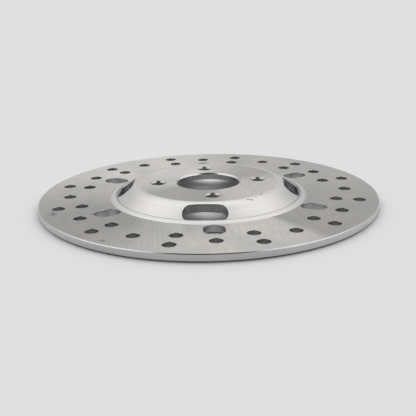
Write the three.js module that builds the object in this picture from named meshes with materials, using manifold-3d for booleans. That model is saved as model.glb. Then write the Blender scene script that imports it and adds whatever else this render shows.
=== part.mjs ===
// A drilled and dished motorcycle brake disc, made in one piece from one steel blank.
// Millimetres, +Z up along the axle. z = 0 is the underside of the friction band, the hat rises above
// it, and the four windows in its cone lie on the X and Y axes.
import * as THREE from "three";
import { mergeVertices } from "three/addons/utils/BufferGeometryUtils.js";
import Module from "manifold-3d";

// Friction band, ground flat on both faces.
const DISC_RADIUS = 110;
const BAND_THICKNESS = 4.5;
const RIM_CHAMFER = 0.5;

// Raised lip where the ground band stops. Its top falls a little outwards and ends in a bevel. A fine
// turned groove parts it from the cone.
const LIP_RADIUS = 64.3;
const LIP_HEIGHT = 1.2;
const LIP_FALL = 0.5;
const LIP_BEVEL = 1.2;
const GROOVE_RADIUS = 59.8;
const GROOVE_WIDTH = 0.8;
const GROOVE_DEPTH = 0.8;

// Hat: a flat plate whose rim rolls over in a round shoulder, and the cone that carries it. The plate and
// the cone's wall have one thickness, so the hat is hollow underneath.
const HAT_HEIGHT = 12.5;
const HAT_WALL = 4.5;
const PLATE_RADIUS = 45.5;
const SHOULDER_RADIUS = 12.5;
const SHOULDER_STEPS = 5;
const CONE_FOOT_HEIGHT = 5.3;

// Hub bore and bolt holes, through the plate.
const BORE_RADIUS = 20.3;
const BORE_CHAMFER = 1;
const BOLT_COUNT = 4;
const BOLT_TURN = 6.7;
const BOLT_CIRCLE_RADIUS = 32.8;
const BOLT_HOLE_RADIUS = 4.25;
const BOLT_CHAMFER = 1;

// Windows through the cone, cut along the axle.
const WINDOW_COUNT = 4;
const WINDOW_TURN = 0;
const WINDOW_LENGTH = 27.2;
const WINDOW_INNER_RADIUS = 49.4;
const WINDOW_OUTER_RADIUS = 58.8;

// Holes in the band: twelve pairs, twelve singles midway between them, and a radial slot inside every
// second single.
const VENT_RADIUS = 4;
const VENT_STEPS = 12;
const PAIR_TURN = -10.4;
const PAIR_CIRCLE_RADII = [83.3, 97.8];
const SINGLE_TURN = 4.6;
const SINGLE_CIRCLE_RADIUS = 90.8;
const SLOT_COUNT = 6;
const SLOT_TURN = 34.6;
const SLOT_INNER_RADIUS = 64.8;
const SLOT_LENGTH = 16.5;
const SLOT_WIDTH = 12.6;

// Sides per full turn, and how far a cutting shape runs past the metal.
const DISC_SIDES = 96;
const HOLE_SIDES = 16;
const OVERRUN = 2;

const FULL_TURN = 360;
const QUARTER_TURN = Math.PI / 2;

const wasm = await Module();
wasm.setup();

// A closed three.js geometry as a solid that can be cut.
function solidFrom(geometry) {
  const bare = geometry.clone();
  bare.deleteAttribute("normal");
  bare.deleteAttribute("uv");
  const merged = mergeVertices(bare);
  return new wasm.Manifold(
    new wasm.Mesh({
      numProp: 3,
      vertProperties: new Float32Array(merged.attributes.position.array),
      triVerts: new Uint32Array(merged.index.array),
    }),
  );
}

// The finished solid as a three.js geometry with flat faces.
function geometryFrom(solid) {
  const mesh = solid.getMesh();
  const indexed = new THREE.BufferGeometry();
  indexed.setAttribute("position", new THREE.BufferAttribute(mesh.vertProperties, mesh.numProp));
  indexed.setIndex(new THREE.BufferAttribute(mesh.triVerts, 1));
  const geometry = indexed.toNonIndexed();
  geometry.computeVertexNormals();
  return geometry;
}

// A profile of [radius, height] points turned about Z. It runs anticlockwise and closes on itself,
// unless it starts and ends on the axis.
function turned(profile, sides) {
  const points = profile.map(([radius, height]) => new THREE.Vector2(radius, height));
  const onAxis = profile[0][0] === 0;
  if (!onAxis) points.push(points[0].clone());
  const geometry = new THREE.LatheGeometry(points, sides);
  return geometry.rotateX(QUARTER_TURN);
}

// A slot outline with round ends, long along X and centred on the origin.
function slotShape(length, width) {
  const end = (length - width) / 2;
  const shape = new THREE.Shape();
  shape.absarc(end, 0, width / 2, -QUARTER_TURN, QUARTER_TURN);
  shape.absarc(-end, 0, width / 2, QUARTER_TURN, 3 * QUARTER_TURN);
  shape.closePath();
  return shape;
}

// That outline as a block standing on the plane z = 0.
function slotBlock(length, width, depth) {
  return new THREE.ExtrudeGeometry(slotShape(length, width), {
    depth,
    bevelEnabled: false,
    curveSegments: HOLE_SIDES / 2,
  });
}

// Cuts count copies of a shape out of the solid, spread evenly round Z from an angle in degrees.
function cutRing(solid, geometry, count, turn) {
  let left = solid;
  for (let i = 0; i < count; i += 1) {
    const angle = THREE.MathUtils.degToRad(turn + (i * FULL_TURN) / count);
    left = left.subtract(solidFrom(geometry.clone().rotateZ(angle)));
  }
  return left;
}

// The cone's foot, beside the groove, and its slope in radians: the line from there that touches the
// shoulder's arc.
const coneFoot = new THREE.Vector2(GROOVE_RADIUS - GROOVE_WIDTH / 2, CONE_FOOT_HEIGHT);
const shoulderCentre = new THREE.Vector2(PLATE_RADIUS, HAT_HEIGHT - SHOULDER_RADIUS);
const fromCentre = coneFoot.clone().sub(shoulderCentre);
const coneSlope = Math.asin(SHOULDER_RADIUS / fromCentre.length()) - fromCentre.angle();

// Points of the shoulder from the cone up to the plate's rim, as [radius, height].
function shoulder() {
  const points = [];
  for (let i = SHOULDER_STEPS; i >= 0; i -= 1) {
    const angle = (coneSlope * i) / SHOULDER_STEPS;
    points.push([
      shoulderCentre.x + SHOULDER_RADIUS * Math.sin(angle),
      shoulderCentre.y + SHOULDER_RADIUS * Math.cos(angle),
    ]);
  }
  return points;
}

// Inner radius of the cone's wall at a height. The inside is parallel to the outside.
function hollowRadius(height) {
  const wallAcross = HAT_WALL / Math.sin(coneSlope);
  return coneFoot.x - wallAcross - (height - coneFoot.y) / Math.tan(coneSlope);
}

// The whole disc before any hole is cut.
function discBlank() {
  const hollowHeight = HAT_HEIGHT - HAT_WALL;
  const lipTop = BAND_THICKNESS + LIP_HEIGHT;
  return turned(
    [
      [BORE_RADIUS, hollowHeight],
      [hollowRadius(hollowHeight), hollowHeight],
      [hollowRadius(0), 0],
      [DISC_RADIUS - RIM_CHAMFER, 0],
      [DISC_RADIUS, RIM_CHAMFER],
      [DISC_RADIUS, BAND_THICKNESS - RIM_CHAMFER],
      [DISC_RADIUS - RIM_CHAMFER, BAND_THICKNESS],
      [LIP_RADIUS, BAND_THICKNESS],
      [LIP_RADIUS - LIP_BEVEL, lipTop - LIP_FALL],
      [GROOVE_RADIUS + GROOVE_WIDTH / 2, lipTop],
      [GROOVE_RADIUS, lipTop - GROOVE_DEPTH],
      [coneFoot.x, coneFoot.y],
      ...shoulder(),
      [BORE_RADIUS + BORE_CHAMFER, HAT_HEIGHT],
      [BORE_RADIUS, HAT_HEIGHT - BORE_CHAMFER],
    ],
    DISC_SIDES,
  );
}

// A drill for one vent hole, standing on the axis.
function ventDrill() {
  const drill = new THREE.CylinderGeometry(
    VENT_RADIUS,
    VENT_RADIUS,
    BAND_THICKNESS + 2 * OVERRUN,
    HOLE_SIDES,
  );
  return drill.rotateX(QUARTER_TURN).translate(0, 0, BAND_THICKNESS / 2);
}

// A bolt hole with its countersink, standing on the axis.
function boltDrill() {
  const chamferedRadius = BOLT_HOLE_RADIUS + BOLT_CHAMFER;
  return turned(
    [
      [0, HAT_HEIGHT - HAT_WALL - OVERRUN],
      [BOLT_HOLE_RADIUS, HAT_HEIGHT - HAT_WALL - OVERRUN],
      [BOLT_HOLE_RADIUS, HAT_HEIGHT - BOLT_CHAMFER],
      [chamferedRadius, HAT_HEIGHT],
      [chamferedRadius, HAT_HEIGHT + OVERRUN],
      [0, HAT_HEIGHT + OVERRUN],
    ],
    HOLE_SIDES,
  );
}

// A radial slot in the band, at angle 0.
function slotCutter() {
  const block = slotBlock(SLOT_LENGTH, SLOT_WIDTH, BAND_THICKNESS + 2 * OVERRUN);
  return block.translate(SLOT_INNER_RADIUS + SLOT_LENGTH / 2, 0, -OVERRUN);
}

// A window cutter at angle 0, its length running round the disc.
function windowCutter() {
  const width = WINDOW_OUTER_RADIUS - WINDOW_INNER_RADIUS;
  const block = slotBlock(WINDOW_LENGTH, width, HAT_HEIGHT + 2 * OVERRUN);
  return block.rotateZ(QUARTER_TURN).translate(WINDOW_INNER_RADIUS + width / 2, 0, -OVERRUN);
}

function brakeDisc() {
  let solid = solidFrom(discBlank());
  for (const radius of PAIR_CIRCLE_RADII) {
    solid = cutRing(solid, ventDrill().translate(radius, 0, 0), VENT_STEPS, PAIR_TURN);
  }
  solid = cutRing(solid, ventDrill().translate(SINGLE_CIRCLE_RADIUS, 0, 0), VENT_STEPS, SINGLE_TURN);
  solid = cutRing(solid, slotCutter(), SLOT_COUNT, SLOT_TURN);
  solid = cutRing(solid, windowCutter(), WINDOW_COUNT, WINDOW_TURN);
  solid = cutRing(solid, boltDrill().translate(BOLT_CIRCLE_RADIUS, 0, 0), BOLT_COUNT, BOLT_TURN);
  const steel = new THREE.MeshStandardMaterial({
    color: 0xb9b8b4,
    roughness: 0.35,
    metalness: 1,
  });
  const mesh = new THREE.Mesh(geometryFrom(solid), steel);
  mesh.name = "brake_disc";
  return mesh;
}

const disc = new THREE.Group();
disc.add(brakeDisc());

export default disc;
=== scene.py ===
import math

import bmesh
import bpy
from mathutils import Matrix, Vector


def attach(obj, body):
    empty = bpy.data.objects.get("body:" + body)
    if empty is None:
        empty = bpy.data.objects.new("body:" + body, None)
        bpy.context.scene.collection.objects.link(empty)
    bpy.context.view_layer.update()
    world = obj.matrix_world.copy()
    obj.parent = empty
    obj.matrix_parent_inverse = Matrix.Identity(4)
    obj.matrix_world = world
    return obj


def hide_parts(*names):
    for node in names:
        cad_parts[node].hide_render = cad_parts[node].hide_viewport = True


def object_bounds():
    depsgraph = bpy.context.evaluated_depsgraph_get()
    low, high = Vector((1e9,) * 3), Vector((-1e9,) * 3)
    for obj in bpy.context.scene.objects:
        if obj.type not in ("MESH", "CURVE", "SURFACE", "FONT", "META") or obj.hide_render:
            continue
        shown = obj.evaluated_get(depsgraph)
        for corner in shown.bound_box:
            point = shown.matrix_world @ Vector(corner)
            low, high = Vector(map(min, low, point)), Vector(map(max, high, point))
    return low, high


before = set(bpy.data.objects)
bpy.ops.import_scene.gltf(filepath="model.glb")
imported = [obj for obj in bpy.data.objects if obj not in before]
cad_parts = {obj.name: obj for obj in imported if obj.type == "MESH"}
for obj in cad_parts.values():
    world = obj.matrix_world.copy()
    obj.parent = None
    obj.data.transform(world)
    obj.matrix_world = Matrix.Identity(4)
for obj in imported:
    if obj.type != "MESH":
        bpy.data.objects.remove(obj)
cad_low, cad_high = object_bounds()

# ---------------------------------------------------------------- dimensions, in millimetres
MM = 0.001
DISC_RADIUS = cad_high.x / MM
HAT_HEIGHT = cad_high.z / MM

BAND_THICKNESS = 4.5
RIM_CHAMFER = 0.5
LIP_RADIUS = 64.3
LIP_HEIGHT = 1.2
LIP_FALL = 0.5
LIP_BEVEL = 1.2
GROOVE_RADIUS = 59.8
GROOVE_WIDTH = 0.8
GROOVE_DEPTH = 0.8
HAT_WALL = 4.5
PLATE_RADIUS = 45.5
SHOULDER_RADIUS = 12.5
CONE_FOOT_HEIGHT = 5.3
BORE_RADIUS = 20.3
BORE_CHAMFER = 1.0

BOLT_COUNT, BOLT_TURN, BOLT_CIRCLE_RADIUS = 4, 6.7, 32.8
BOLT_HOLE_RADIUS, BOLT_CHAMFER = 4.25, 1.0
WINDOW_COUNT, WINDOW_TURN = 4, 0.0
WINDOW_LENGTH, WINDOW_INNER_RADIUS, WINDOW_OUTER_RADIUS = 27.2, 49.4, 58.8
VENT_RADIUS, VENT_STEPS = 4.0, 12
PAIR_TURN, PAIR_CIRCLE_RADII = -10.4, (83.3, 97.8)
SINGLE_TURN, SINGLE_CIRCLE_RADIUS = 4.6, 90.8
SLOT_COUNT, SLOT_TURN = 6, 34.6
SLOT_INNER_RADIUS, SLOT_LENGTH, SLOT_WIDTH = 64.8, 16.5, 12.6

EDGE_BREAK = 0.12       # the fine chamfer on every drilled or punched edge
WINDOW_BREAK = 0.25     # the wider one round the outer mouth of a window
# Painted shade: the width of the lip's darker strip by the groove.
PAINTED_SHADE_WIDTH = 0.6      # the darker strip of the lip, along the groove

# Radii that soften the corners of the turned section.
SHARP_CORNER = 0.1
LIP_FOOT_CORNER, LIP_TOP_CORNER, LIP_INNER_CORNER = 0.3, 1.0, 0.12
HOLLOW_ROOF_CORNER, HOLLOW_FOOT_CORNER = 3.0, 1.0

SHOULDER_STEPS, CORNER_STEPS = 12, 4
DISC_SIDES, HOLE_SIDES = 360, 48
SHARP_EDGE = 28         # the most degrees between two faces that still shade as one
FACE_WEIGHT = 100       # how much large faces pull the shading normals their way
OVERRUN = 3.0           # how far a cutter runs past the metal
FLARE = 0.15            # how far a cutter's chamfer runs past the surface

# ---------------------------------------------------------------- material zones of the one piece
# The lip's darker strip by the groove is painted shade in the crease, and the same painted shade is on
# the rim's lower chamfer, where the disc meets the floor.
ZONES = (
    "ground_band", "ground_plate", "turned_cone", "painted_shade_strip", "rim_edge", "chamfer",
    "hole_edge_painted_shade", "cut_wall_and_shade", "slot_wall_painted_light", "raw_hollow_painted_light",
)
ZONE = {name: index for index, name in enumerate(ZONES)}


# ---------------------------------------------------------------- turned blank
CONE_FOOT = Vector((GROOVE_RADIUS - GROOVE_WIDTH / 2, CONE_FOOT_HEIGHT))
SHOULDER_CENTRE = Vector((PLATE_RADIUS, HAT_HEIGHT - SHOULDER_RADIUS))
FROM_CENTRE = CONE_FOOT - SHOULDER_CENTRE
CONE_SLOPE = math.asin(SHOULDER_RADIUS / FROM_CENTRE.length) - math.atan2(FROM_CENTRE.y, FROM_CENTRE.x)
CONE_TOP_RADIUS = PLATE_RADIUS + SHOULDER_RADIUS * math.sin(CONE_SLOPE)
HOLLOW_HEIGHT = HAT_HEIGHT - HAT_WALL


def outside_height(radius):
    """Height of the plate, shoulder, cone and foot above a radius."""
    if radius < PLATE_RADIUS:
        return HAT_HEIGHT
    if radius < CONE_TOP_RADIUS:
        return SHOULDER_CENTRE.y + math.sqrt(SHOULDER_RADIUS ** 2 - (radius - PLATE_RADIUS) ** 2)
    return max(CONE_FOOT.y + (CONE_FOOT.x - radius) * math.tan(CONE_SLOPE), CONE_FOOT.y)


def hollow_radius(height):
    """Inner radius of the cone's wall at a height. The inside is parallel to the outside."""
    return CONE_FOOT.x - HAT_WALL / math.sin(CONE_SLOPE) - (height - CONE_FOOT.y) / math.tan(CONE_SLOPE)


def inside_height(radius):
    """Height of the hollow's roof above a radius."""
    slanted = (hollow_radius(0) - radius) * math.tan(CONE_SLOPE)
    return min(max(slanted, 0.0), HOLLOW_HEIGHT)


def shoulder():
    """The shoulder's arc from the cone to the plate's rim, which is a faint edge."""
    points = []
    for step in range(SHOULDER_STEPS, 0, -1):
        angle = CONE_SLOPE * step / SHOULDER_STEPS
        radius = PLATE_RADIUS + SHOULDER_RADIUS * math.sin(angle)
        points.append((radius, SHOULDER_CENTRE.y + SHOULDER_RADIUS * math.cos(angle), 0, "turned_cone"))
    return points


def blank_profile():
    """The disc's section, anticlockwise: (radius, height, corner radius, zone of the face after it)."""
    lip_top = BAND_THICKNESS + LIP_HEIGHT
    lip_inner = GROOVE_RADIUS + GROOVE_WIDTH / 2
    lip_width = LIP_RADIUS - LIP_BEVEL - lip_inner
    painted_shade_height = lip_top - LIP_FALL * PAINTED_SHADE_WIDTH / lip_width
    return [
        (BORE_RADIUS + EDGE_BREAK, HOLLOW_HEIGHT, 0, "raw_hollow_painted_light"),
        (hollow_radius(HOLLOW_HEIGHT), HOLLOW_HEIGHT, HOLLOW_ROOF_CORNER, "raw_hollow_painted_light"),
        (hollow_radius(0), 0, HOLLOW_FOOT_CORNER, "ground_band"),
        # The rim's lower chamfer takes the painted shade strip.
        (DISC_RADIUS - RIM_CHAMFER, 0, SHARP_CORNER, "painted_shade_strip"),
        (DISC_RADIUS, RIM_CHAMFER, SHARP_CORNER, "rim_edge"),
        (DISC_RADIUS, BAND_THICKNESS - RIM_CHAMFER, SHARP_CORNER, "chamfer"),
        (DISC_RADIUS - RIM_CHAMFER, BAND_THICKNESS, SHARP_CORNER, "ground_band"),
        (LIP_RADIUS, BAND_THICKNESS, LIP_FOOT_CORNER, "turned_cone"),
        (LIP_RADIUS - LIP_BEVEL, lip_top - LIP_FALL, LIP_TOP_CORNER, "turned_cone"),
        # The lip's strip by the groove is painted shade.
        (lip_inner + PAINTED_SHADE_WIDTH, painted_shade_height, 0, "painted_shade_strip"),
        (lip_inner, lip_top, LIP_INNER_CORNER, "turned_cone"),
        (GROOVE_RADIUS, lip_top - GROOVE_DEPTH, 0, "turned_cone"),
        (CONE_FOOT.x, CONE_FOOT.y, SHARP_CORNER, "turned_cone"),
        *shoulder(),
        (PLATE_RADIUS, HAT_HEIGHT, 0, "ground_plate"),
        (BORE_RADIUS + BORE_CHAMFER, HAT_HEIGHT, SHARP_CORNER, "chamfer"),
        (BORE_RADIUS, HAT_HEIGHT - BORE_CHAMFER, SHARP_CORNER, "cut_wall_and_shade"),
        (BORE_RADIUS, HOLLOW_HEIGHT + EDGE_BREAK, 0, "cut_wall_and_shade"),
    ]


def rounded(corners):
    """The section with its corners rounded, as (radius, height, zone)."""
    points = []
    for index, (radius, height, bend, zone) in enumerate(corners):
        here = Vector((radius, height))
        before = Vector(corners[index - 1][:2])
        after = Vector(corners[(index + 1) % len(corners)][:2])
        zone_before = corners[index - 1][3]
        if not bend:
            points.append((radius, height, zone))
            continue
        back = (before - here).normalized()
        ahead = (after - here).normalized()
        half = back.angle(ahead) / 2
        reach = bend / math.tan(half)
        centre = here + (back + ahead).normalized() * (bend / math.sin(half))
        start = here + back * reach - centre
        turn = math.pi - 2 * half
        if back.x * ahead.y - back.y * ahead.x > 0:
            turn = -turn
        for step in range(CORNER_STEPS + 1):
            point = centre + Matrix.Rotation(turn * step / CORNER_STEPS, 2) @ start
            points.append((point.x, point.y, zone if step * 2 >= CORNER_STEPS else zone_before))
    return points


def lathe(section):
    """The section turned about Z as a closed mesh."""
    mesh = bmesh.new()
    rings = []
    for side in range(DISC_SIDES):
        angle = 2 * math.pi * side / DISC_SIDES
        cos, sin = math.cos(angle), math.sin(angle)
        rings.append([mesh.verts.new((r * cos * MM, r * sin * MM, z * MM)) for r, z, _ in section])
    count = len(section)
    for side in range(DISC_SIDES):
        here, there = rings[side], rings[(side + 1) % DISC_SIDES]
        for index in range(count):
            after = (index + 1) % count
            face = mesh.faces.new((here[index], there[index], there[after], here[after]))
            face.material_index = ZONE[section[index][2]]
    return mesh


# ---------------------------------------------------------------- cutters
def slot_outline(length, width, grow):
    """A slot with round ends, long along u and grown all round: a circle where length equals width."""
    straight = (length - width) / 2
    radius = width / 2 + grow
    points = []
    for index in range(HOLE_SIDES):
        angle = 2 * math.pi * (index + 0.5) / HOLE_SIDES
        side = straight if math.cos(angle) > 0 else -straight
        points.append((side + radius * math.cos(angle), radius * math.sin(angle)))
    return points


WALL_LEVEL = 2      # of the five bands of skin between a cutter's six rings, the one that cuts the wall


def loft(mesh, rings, wall):
    """Adds a closed skin through six rings of points, from below the metal to above it.

    The middle band of the skin cuts the wall, in the zone given, and the others cut chamfers in darker
    steel, which is painted shade.
    """
    made = [[mesh.verts.new(point) for point in ring] for ring in rings]
    count = len(made[0])
    mesh.faces.new(list(reversed(made[0])))
    mesh.faces.new(made[-1])
    for level, (low, high) in enumerate(zip(made, made[1:])):
        for index in range(count):
            after = (index + 1) % count
            face = mesh.faces.new((low[index], low[after], high[after], high[index]))
            face.material_index = ZONE[wall if level == WALL_LEVEL else "hole_edge_painted_shade"]


def straight_cutter(mesh, radius, turn, length, width, low, high, chamfer, wall="cut_wall_and_shade"):
    """A slot or hole through the metal from low to high, chamfered at both faces, its length radial."""
    levels = [
        (low - OVERRUN, EDGE_BREAK + FLARE),
        (low - FLARE, EDGE_BREAK + FLARE),
        (low + EDGE_BREAK, 0.0),
        (high - chamfer, 0.0),
        (high + FLARE, chamfer + FLARE),
        (high + OVERRUN, chamfer + FLARE),
    ]
    place = Matrix.Rotation(math.radians(turn), 4, "Z") @ Matrix.Translation((radius * MM, 0, 0))
    rings = []
    for height, grow in levels:
        outline = slot_outline(length, width, grow)
        rings.append([place @ Vector((u * MM, v * MM, height * MM)) for u, v in outline])
    loft(mesh, rings, wall)


def window_cutter(mesh, turn):
    """A window through the cone, along the axle, with chamfers that follow the slope at both mouths."""
    width = WINDOW_OUTER_RADIUS - WINDOW_INNER_RADIUS
    middle = WINDOW_INNER_RADIUS + width / 2
    levels = [
        (lambda radius: -OVERRUN, EDGE_BREAK + FLARE),
        (lambda radius: inside_height(radius) - FLARE, EDGE_BREAK + FLARE),
        (lambda radius: inside_height(radius) + EDGE_BREAK, 0.0),
        (lambda radius: outside_height(radius) - WINDOW_BREAK, 0.0),
        (lambda radius: outside_height(radius) + FLARE, WINDOW_BREAK + FLARE),
        (lambda radius: HAT_HEIGHT + OVERRUN, WINDOW_BREAK + FLARE),
    ]
    place = Matrix.Rotation(math.radians(turn), 4, "Z")
    rings = []
    for height, grow in levels:
        ring = []
        for u, v in slot_outline(WINDOW_LENGTH, width, grow):
            radius = math.hypot(middle + v, u)
            ring.append(place @ Vector(((middle + v) * MM, u * MM, height(radius) * MM)))
        rings.append(ring)
    loft(mesh, rings, "cut_wall_and_shade")


def turns(count, first):
    """Even turns round the axle, in degrees."""
    return [first + 360.0 * index / count for index in range(count)]


def all_cutters():
    """Every vent hole, slot, bolt hole and window, as one mesh of separate cutters."""
    mesh = bmesh.new()
    vent = 2 * VENT_RADIUS
    for radius in PAIR_CIRCLE_RADII:
        for turn in turns(VENT_STEPS, PAIR_TURN):
            straight_cutter(mesh, radius, turn, vent, vent, 0, BAND_THICKNESS, EDGE_BREAK)
    for turn in turns(VENT_STEPS, SINGLE_TURN):
        straight_cutter(mesh, SINGLE_CIRCLE_RADIUS, turn, vent, vent, 0, BAND_THICKNESS, EDGE_BREAK)
    middle = SLOT_INNER_RADIUS + SLOT_LENGTH / 2
    for turn in turns(SLOT_COUNT, SLOT_TURN):
        straight_cutter(
            mesh, middle, turn, SLOT_LENGTH, SLOT_WIDTH, 0, BAND_THICKNESS, EDGE_BREAK, "slot_wall_painted_light"
        )
    bolt = 2 * BOLT_HOLE_RADIUS
    for turn in turns(BOLT_COUNT, BOLT_TURN):
        straight_cutter(
            mesh, BOLT_CIRCLE_RADIUS, turn, bolt, bolt, HOLLOW_HEIGHT, HAT_HEIGHT, BOLT_CHAMFER
        )
    for turn in turns(WINDOW_COUNT, WINDOW_TURN):
        window_cutter(mesh, turn)
    return mesh


# ---------------------------------------------------------------- the disc as one object
def object_from(mesh, name):
    """A scene object made from a working mesh, which is used up."""
    data = bpy.data.meshes.new(name)
    bmesh.ops.recalc_face_normals(mesh, faces=mesh.faces)
    mesh.to_mesh(data)
    mesh.free()
    made = bpy.data.objects.new(name, data)
    bpy.context.scene.collection.objects.link(made)
    return made


def disc_object(materials):
    """The turned blank with every hole cut in one go, its fine rounding shaded smooth."""
    disc = object_from(lathe(rounded(blank_profile())), "disc")
    cutters = object_from(all_cutters(), "cutters")
    for material in materials:
        disc.data.materials.append(material)
        cutters.data.materials.append(material)
    cut = disc.modifiers.new("cut", "BOOLEAN")
    cut.operation = "DIFFERENCE"
    cut.solver = "EXACT"
    cut.object = cutters
    graph = bpy.context.evaluated_depsgraph_get()
    finished = bpy.data.meshes.new_from_object(disc.evaluated_get(graph), depsgraph=graph)
    disc.modifiers.clear()
    disc.data = finished
    disc.name = "steel_disc"
    bpy.data.objects.remove(cutters)
    finished.shade_smooth()
    finished.set_sharp_from_angle(angle=math.radians(SHARP_EDGE))
    weighted = disc.modifiers.new("weighted", "WEIGHTED_NORMAL")
    weighted.keep_sharp = True
    weighted.weight = FACE_WEIGHT
    return disc


# ---------------------------------------------------------------- materials
class Graph:
    """A short way to write the nodes of a material or a world."""

    def __init__(self, owner, shader):
        owner.use_nodes = True
        self.owner = owner
        self.tree = owner.node_tree
        self.shader = self.tree.nodes[shader]

    def node(self, kind, inputs=(), **settings):
        """A new node, with values or sockets put into its inputs."""
        made = self.tree.nodes.new(kind)
        for name, value in settings.items():
            setattr(made, name, value)
        for key, value in dict(inputs).items():
            self.put(made.inputs[key], value)
        return made

    def put(self, socket, value):
        if isinstance(value, bpy.types.NodeSocket):
            self.tree.links.new(value, socket)
        else:
            socket.default_value = value

    def math(self, operation, first, second=0.0):
        return self.node("ShaderNodeMath", {0: first, 1: second}, operation=operation).outputs[0]

    def vector(self, operation, inputs, output="Vector"):
        return self.node("ShaderNodeVectorMath", inputs, operation=operation).outputs[output]

    def spread(self, value, low, high, new_low, new_high, curve="LINEAR"):
        """The value carried over from one range to another, and held at its ends."""
        inputs = {
            "Value": value, "From Min": low, "From Max": high, "To Min": new_low, "To Max": new_high,
        }
        return self.node("ShaderNodeMapRange", inputs, interpolation_type=curve).outputs["Result"]

    def noise(self, vector, scale, detail, roughness=0.5):
        inputs = {"Vector": vector, "Scale": scale, "Detail": detail, "Roughness": roughness}
        return self.node("ShaderNodeTexNoise", inputs).outputs["Fac"]

    def blend(self, share, first, second):
        """A colour between two others."""
        made = self.node("ShaderNodeMix", data_type="RGBA")
        self.put(made.inputs["Factor"], share)
        colours = [socket for socket in made.inputs if socket.type == "RGBA"]
        self.put(colours[0], first)
        self.put(colours[1], second)
        return [socket for socket in made.outputs if socket.type == "RGBA"][0]

    def place(self):
        """The point on the object, in metres."""
        return self.node("ShaderNodeTexCoord").outputs["Object"]

    def rings(self, centre=(0.0, 0.0)):
        """A vector in which noise makes streaks running round a centre: (cos, sin, radius in mm)."""
        split = self.node("ShaderNodeSeparateXYZ", {0: self.place()})
        x = self.math("SUBTRACT", split.outputs[0], centre[0] * MM)
        y = self.math("SUBTRACT", split.outputs[1], centre[1] * MM)
        squares = self.math("ADD", self.math("MULTIPLY", x, x), self.math("MULTIPLY", y, y))
        radius = self.math("SQRT", squares)
        inputs = {
            0: self.math("DIVIDE", x, radius),
            1: self.math("DIVIDE", y, radius),
            2: self.math("DIVIDE", radius, MM),
        }
        return self.node("ShaderNodeCombineXYZ", inputs).outputs[0]

    def round_axle(self):
        """The angle round the axle, from -180 to 180 degrees."""
        split = self.node("ShaderNodeSeparateXYZ", {0: self.place()})
        angle = self.math("ARCTAN2", split.outputs[1], split.outputs[0])
        return self.math("MULTIPLY", angle, math.degrees(1))

    def ramp(self, value, low, high, stops):
        """A grey level that follows stops of (value, level)."""
        made = self.node("ShaderNodeValToRGB", {"Fac": self.spread(value, low, high, 0.0, 1.0)})
        elements = made.color_ramp.elements
        while len(elements) < len(stops):
            elements.new(0.5)
        for element, (place, level) in zip(elements, stops):
            element.position = (place - low) / (high - low)
            element.color = (level, level, level, 1.0)
        return made.outputs["Color"]

    def stretched(self, vector, round_scale, across_scale):
        """A vector from rings() with its scale set along the streaks and across them."""
        return self.vector("MULTIPLY", {0: vector, 1: (round_scale, round_scale, across_scale)})

    def bump(self, height, distance):
        inputs = {"Height": height, "Distance": distance, "Strength": 1.0}
        return self.node("ShaderNodeBump", inputs).outputs["Normal"]


# ---------------------------------------------------------------- finishes
# Painted reflections and painted shade: lighter and darker sectors painted into the steel's colour, as
# (degrees round the axle, share of its lightness).
BAND_PAINTED_REFLECTIONS = (
    (-180, 0.80), (-155, 0.60), (-130, 0.52), (-95, 0.88), (-54, 0.86), (-50, 0.55), (-30, 0.60),
    (0, 0.66), (20, 0.74), (75, 0.72), (100, 0.96), (155, 1.0), (180, 0.80),
)
PLATE_PAINTED_REFLECTIONS = (
    (-180, 1.0), (-165, 0.97), (-140, 0.58), (-90, 0.52), (-65, 0.76), (0, 0.90), (30, 0.58),
    (60, 0.57), (100, 0.87), (150, 1.0), (180, 1.0),
)
CONE_PAINTED_REFLECTIONS = ((-180, 0.86), (-150, 0.86), (-125, 1.0), (-50, 1.0), (-25, 0.83), (180, 0.86))
RIM_PAINTED_REFLECTIONS = ((-180, 1.0), (-130, 0.84), (-80, 0.80), (-25, 1.0), (180, 1.0))

# Handling marks, as strokes from one point to another, in mm, with their width and darkness.
BAND_MARKS = (
    (-97.0, -39.5, -90.0, -44.5, 0.6, 0.35), (-94.0, -39.0, -92.0, -47.0, 0.6, 0.4),
    (-90.5, -40.5, -95.5, -46.5, 0.6, 0.3), (-93.5, -42.5, -92.5, -43.5, 2.0, 0.3),
    (-68.4, -43.6, -67.4, -44.2, 1.8, 0.45), (-54.8, -89.4, -54.0, -90.0, 1.8, 0.4),
    (-45.5, -88.0, -39.5, -95.5, 0.6, 0.2), (-43.0, -88.5, -37.0, -93.5, 0.6, 0.2),
    (-46.5, -66.0, -41.5, -61.5, 0.6, 0.25),
)
HAT_MARKS = (
    (24.8, -41.4, 26.2, -40.8, 0.7, 0.6), (27.6, -40.6, 28.0, -40.9, 0.8, 0.6),
    (33.2, -32.4, 34.2, -31.2, 0.7, 0.6), (30.0, -36.6, 30.6, -35.9, 0.5, 0.5),
)

# Marks in the steel: fine ones round the axle, coarse ones along them, and clouds without a direction.
FINE_DETAIL, FINE_ROUGHNESS = 3.0, 0.6
COARSE_ROUND, COARSE_ACROSS, COARSE_DETAIL = 0.5, 0.12, 2.0     # scales, as shares of the fine ones
COARSE_HEIGHT = 0.6                                             # as a share of the fine marks' height
CLOUD_SCALE, CLOUD_DETAIL = 36.0, 4.0
TINT_MIX, TINT_RANGE = (0.45, 0.55), (0.41, 0.59)       # of fine marks and clouds, and what is used of it
ROUGH_MIX, ROUGH_RANGE = (0.5, 0.5), (0.35, 0.65)       # of coarse marks and clouds, likewise

# Grinding arcs that cross the brushed faces, round two centres far to the sides (mm).
ARC_CENTRES = ((150.0, -60.0), (-140.0, -90.0))
ARC_ROUND, ARC_ACROSS = 6.0, 1.1
ARC_RANGE, ARC_LEVELS = (0.35, 0.65), (0.95, 1.05)
BRUSHED = 0.7           # how strongly brushing stretches highlights, from 0 to 1
QUARTER_TURN = 0.25     # of a full turn: the brushing lies across the tangent


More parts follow.
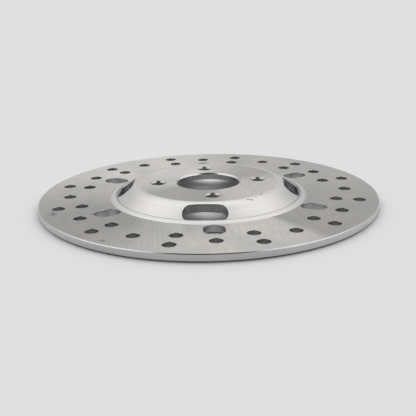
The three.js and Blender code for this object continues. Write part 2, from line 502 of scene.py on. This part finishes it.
def struck(graph, strokes):
    """The share of the steel's lightness that strokes leave. Each fades out over half its width."""
    left = 1.0
    flat = graph.vector("MULTIPLY", {0: graph.place(), 1: (1 / MM, 1 / MM, 0.0)})
    for from_x, from_y, to_x, to_y, width, darkness in strokes:
        start = Vector((from_x, from_y, 0))
        along = Vector((to_x - from_x, to_y - from_y, 0))
        away = graph.vector("SUBTRACT", {0: flat, 1: start})
        reach = graph.vector("DOT_PRODUCT", {0: away, 1: along.normalized()}, "Value")
        reach = graph.spread(reach, 0.0, along.length, 0.0, along.length)
        nearest = graph.vector("SCALE", {0: along.normalized(), "Scale": reach})
        distance = graph.vector("DISTANCE", {0: away, 1: nearest}, "Value")
        kept = graph.spread(distance, width / 2, width, 1.0 - darkness, 1.0)
        left = graph.math("MULTIPLY", left, kept)
    return left


def mixed(graph, first, second, shares):
    """The sum of two values, each times its share."""
    return graph.math(
        "ADD", graph.math("MULTIPLY", first, shares[0]), graph.math("MULTIPLY", second, shares[1])
    )


def steel(name, tints, roughness, marks, mark_depth, brushed=0.0, painted_reflections=(), strokes=()):
    """Bare steel between two tints and two roughnesses, with fine marks that run round the axle.

    marks is the scale of the noise that makes them: per mm across them, and per radian along them.
    mark_depth is in mm.
    """
    graph = Graph(bpy.data.materials.new(name), "Principled BSDF")
    across, along = marks
    rings = graph.rings()
    fine = graph.noise(graph.stretched(rings, along, across), 1.0, FINE_DETAIL, FINE_ROUGHNESS)
    broad = graph.stretched(rings, along * COARSE_ROUND, across * COARSE_ACROSS)
    coarse = graph.noise(broad, 1.0, COARSE_DETAIL)
    cloud = graph.noise(graph.place(), CLOUD_SCALE, CLOUD_DETAIL)

    level = struck(graph, strokes)
    # Painted reflections: sectors round the axle make the colour lighter and darker.
    if painted_reflections:
        level = graph.math("MULTIPLY", level, graph.ramp(graph.round_axle(), -180, 180, painted_reflections))
    if brushed:
        for centre in ARC_CENTRES:
            streaks = graph.stretched(graph.rings(centre), ARC_ROUND, ARC_ACROSS)
            arcs = graph.noise(streaks, 1.0, FINE_DETAIL, FINE_ROUGHNESS)
            level = graph.math("MULTIPLY", level, graph.spread(arcs, *ARC_RANGE, *ARC_LEVELS))
    share = graph.spread(mixed(graph, fine, cloud, TINT_MIX), *TINT_RANGE, 0.0, 1.0)
    tint = graph.blend(share, *[(*tint, 1.0) for tint in tints])
    graph.put(graph.shader.inputs["Base Color"], graph.vector("SCALE", {0: tint, "Scale": level}))

    rough = graph.spread(mixed(graph, coarse, cloud, ROUGH_MIX), *ROUGH_RANGE, *roughness)
    graph.put(graph.shader.inputs["Roughness"], rough)
    height = graph.math("ADD", fine, graph.math("MULTIPLY", coarse, COARSE_HEIGHT))
    graph.put(graph.shader.inputs["Normal"], graph.bump(height, mark_depth * MM))
    graph.shader.inputs["Metallic"].default_value = 1.0
    if brushed:
        graph.shader.inputs["Anisotropic"].default_value = brushed
        graph.shader.inputs["Anisotropic Rotation"].default_value = QUARTER_TURN
        tangent = graph.node("ShaderNodeTangent", direction_type="RADIAL", axis="Z")
        graph.put(graph.shader.inputs["Tangent"], tangent.outputs[0])
    return graph.owner


# The band, plate, cone and rim finishes carry painted reflections, as lighter and darker sectors in their
# colour.
FINISHES = {
    "ground_band": dict(
        tints=((0.54, 0.54, 0.53), (0.64, 0.61, 0.57)), roughness=(0.28, 0.40),
        marks=(3.0, 2.0), mark_depth=0.01, brushed=BRUSHED, painted_reflections=BAND_PAINTED_REFLECTIONS, strokes=BAND_MARKS,
    ),
    # The plate's tints are set lighter than the band's to carry part of its painted reflections.
    "ground_plate": dict(
        tints=((0.63, 0.62, 0.60), (0.70, 0.675, 0.64)), roughness=(0.28, 0.38),
        marks=(3.0, 2.0), mark_depth=0.01, brushed=BRUSHED, painted_reflections=PLATE_PAINTED_REFLECTIONS, strokes=HAT_MARKS,
    ),
    "turned_cone": dict(
        tints=((0.62, 0.61, 0.595), (0.67, 0.66, 0.65)), roughness=(0.35, 0.5),
        marks=(2.0, 1.5), mark_depth=0.01, painted_reflections=CONE_PAINTED_REFLECTIONS, strokes=HAT_MARKS,
    ),
    # Painted shade: dark steel for the lip's crease and the rim's lower chamfer.
    "painted_shade_strip": dict(
        tints=((0.26, 0.255, 0.25), (0.34, 0.335, 0.33)), roughness=(0.4, 0.5),
        marks=(3.0, 3.0), mark_depth=0.01,
    ),
    "rim_edge": dict(
        tints=((0.62, 0.62, 0.63), (0.69, 0.685, 0.69)), roughness=(0.3, 0.45),
        marks=(3.0, 3.0), mark_depth=0.01, painted_reflections=RIM_PAINTED_REFLECTIONS,
    ),
    "chamfer": dict(
        tints=((0.54, 0.535, 0.525), (0.60, 0.59, 0.575)), roughness=(0.15, 0.24),
        marks=(3.0, 3.0), mark_depth=0.005,
    ),
    # Painted shade: chamfers round the cut holes, slots and windows, darker than the same chamfer on the
    # rim and bore.
    "hole_edge_painted_shade": dict(
        tints=((0.41, 0.405, 0.395), (0.46, 0.45, 0.44)), roughness=(0.18, 0.28),
        marks=(3.0, 3.0), mark_depth=0.005,
    ),
    # Darker than the faces: partly the rough cut finish, partly painted shade inside the cuts.
    "cut_wall_and_shade": dict(
        tints=((0.37, 0.37, 0.37), (0.44, 0.435, 0.43)), roughness=(0.3, 0.45),
        marks=(2.0, 6.0), mark_depth=0.02,
    ),
    # Painted light: the slots' cut walls, set lighter than the walls of the other cuts.
    "slot_wall_painted_light": dict(
        tints=((0.46, 0.46, 0.465), (0.53, 0.53, 0.53)), roughness=(0.3, 0.45),
        marks=(2.0, 6.0), mark_depth=0.02,
    ),
    # Painted light: the rough, unground steel of the hollow is set lighter than the rest, where little
    # light reaches under the hat.
    "raw_hollow_painted_light": dict(
        tints=((0.68, 0.68, 0.68), (0.74, 0.735, 0.73)), roughness=(0.4, 0.55),
        marks=(1.0, 2.0), mark_depth=0.02,
    ),
}


# ---------------------------------------------------------------- camera, light and floor
CAMERA_TURN = 2.325         # degrees anticlockwise from -Y
CAMERA_OUT = 440.7          # mm in front of the axle
CAMERA_ASIDE = -0.48        # mm to the side of it
CAMERA_UP = 135.5           # mm above the disc's underside
CAMERA_PITCH = 17.825       # degrees down
CAMERA_ROLL = -1.14
SENSOR, LENS = 36.0, 60.13
NEAREST, FARTHEST = 0.01, 100.0         # metres that the camera sees between

FLOOR_GAP = 0.6                         # mm between the disc and the paper, for a line of shade
FLOOR_SPAN, FLOOR_DEPTH = 24.0, 20      # the paper's slab: metres across, mm deep
PAPER_TINTS = (0.805, 0.805, 0.81, 1.0), (0.83, 0.83, 0.83, 1.0)
PAPER_GRAIN, GRAIN_DETAIL, GRAIN_RANGE = 900.0, 2.0, (0.3, 0.7)
PAPER_ROUGHNESS, PAPER_GLOSS = 0.9, 0.1
# Light on the paper under the hat, as round patches: x, y, how far each reaches (mm), strength.
UNDER_HAT = ((0, -27, 16, 0.28), (0, 48, 14, 0.22))
WHITE = (1.0, 1.0, 1.0, 1.0)


def add_camera():
    """A camera in front of the disc, looking down at it."""
    data = bpy.data.cameras.new("camera")
    data.sensor_width = SENSOR
    data.lens = LENS
    data.clip_start, data.clip_end = NEAREST, FARTHEST
    camera = bpy.data.objects.new("camera", data)
    bpy.context.scene.collection.objects.link(camera)
    turn = Matrix.Rotation(math.radians(CAMERA_TURN), 4, "Z")
    place = Matrix.Translation((CAMERA_ASIDE * MM, -CAMERA_OUT * MM, CAMERA_UP * MM))
    pitch = Matrix.Rotation(math.radians(90 - CAMERA_PITCH), 4, "X")
    roll = Matrix.Rotation(math.radians(CAMERA_ROLL), 4, "Z")
    camera.matrix_world = turn @ place @ pitch @ roll
    bpy.context.scene.camera = camera


def add_floor():
    """A slab of pale paper that glows a little under the hat, where the sky's light hardly reaches."""
    mesh = bmesh.new()
    bmesh.ops.create_cube(mesh, size=1.0)
    bmesh.ops.translate(mesh, verts=mesh.verts, vec=(0, 0, -0.5))
    bmesh.ops.scale(mesh, verts=mesh.verts, vec=(FLOOR_SPAN, FLOOR_SPAN, FLOOR_DEPTH * MM))
    floor = object_from(mesh, "floor")
    graph = Graph(bpy.data.materials.new("floor_paper"), "Principled BSDF")
    grain = graph.noise(graph.place(), PAPER_GRAIN, GRAIN_DETAIL)
    share = graph.spread(grain, *GRAIN_RANGE, 0.0, 1.0)
    graph.put(graph.shader.inputs["Base Color"], graph.blend(share, *PAPER_TINTS))
    graph.shader.inputs["Roughness"].default_value = PAPER_ROUGHNESS
    graph.shader.inputs["Specular IOR Level"].default_value = PAPER_GLOSS
    glow = 0.0
    for x, y, reach, strength in UNDER_HAT:
        away = graph.vector("DISTANCE", {0: graph.place(), 1: (x * MM, y * MM, 0)}, "Value")
        patch = graph.spread(away, 0.0, reach * MM, strength, 0.0, "SMOOTHSTEP")
        glow = graph.math("ADD", glow, patch)
    graph.put(graph.shader.inputs["Emission Strength"], glow)
    graph.shader.inputs["Emission Color"].default_value = WHITE
    floor.data.materials.append(graph.owner)
    floor.location.z = -FLOOR_GAP * MM


# A light tent, as brightness by direction. Azimuths and elevations are in degrees.
SKY_LOW, SKY_HIGH = 0.60, 1.42      # its brightness near the horizon and overhead
SKY_RISE = (0.15, 0.80)             # the heights between which it rises, as sines of the elevation
FRONT, FRONT_SHARE = -90, 0.42      # the camera's side, and what is left there of the brightness
FRONT_FALL = (0.05, 0.80)           # the nearness to that side, as a cosine, over which it falls
GAP_AZIMUTH, GAP_ELEVATION = -90, 68        # a round dark gap in the roof
GAP_FULL, GAP_EDGE = 16, 28                 # degrees from its middle to where it is dark, and gone
GAP_SHARE = 0.96                            # of the light, which it takes away


def direction(azimuth, elevation):
    """The unit vector that points there."""
    flat = math.cos(math.radians(elevation))
    turn = math.radians(azimuth)
    return (flat * math.cos(turn), flat * math.sin(turn), math.sin(math.radians(elevation)))


def add_light():
    """A white tent, brightest overhead and dim towards the camera, as one smooth sky."""
    world = bpy.data.worlds.new("tent")
    bpy.context.scene.world = world
    graph = Graph(world, "Background")
    ray = graph.node("ShaderNodeTexCoord").outputs["Generated"]

    def nearness(azimuth, elevation):
        """The cosine of the angle between the ray and a direction."""
        return graph.vector("DOT_PRODUCT", {0: ray, 1: direction(azimuth, elevation)}, "Value")

    sky = graph.spread(nearness(0, 90), *SKY_RISE, SKY_LOW, SKY_HIGH, "SMOOTHSTEP")
    front = graph.spread(nearness(FRONT, 0), *FRONT_FALL, 1.0, FRONT_SHARE, "SMOOTHSTEP")
    edge, full = math.cos(math.radians(GAP_EDGE)), math.cos(math.radians(GAP_FULL))
    gap = nearness(GAP_AZIMUTH, GAP_ELEVATION)
    roof = graph.spread(gap, edge, full, 1.0, 1.0 - GAP_SHARE, "SMOOTHSTEP")
    light = graph.math("MULTIPLY", graph.math("MULTIPLY", sky, front), roof)
    graph.put(graph.shader.inputs["Strength"], light)
    graph.shader.inputs["Color"].default_value = WHITE


bpy.context.scene.view_settings.view_transform = "Standard"
add_camera()
add_floor()
add_light()

disc = disc_object([steel(name, **FINISHES[name]) for name in ZONES])
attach(disc, "root")
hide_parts("brake_disc")
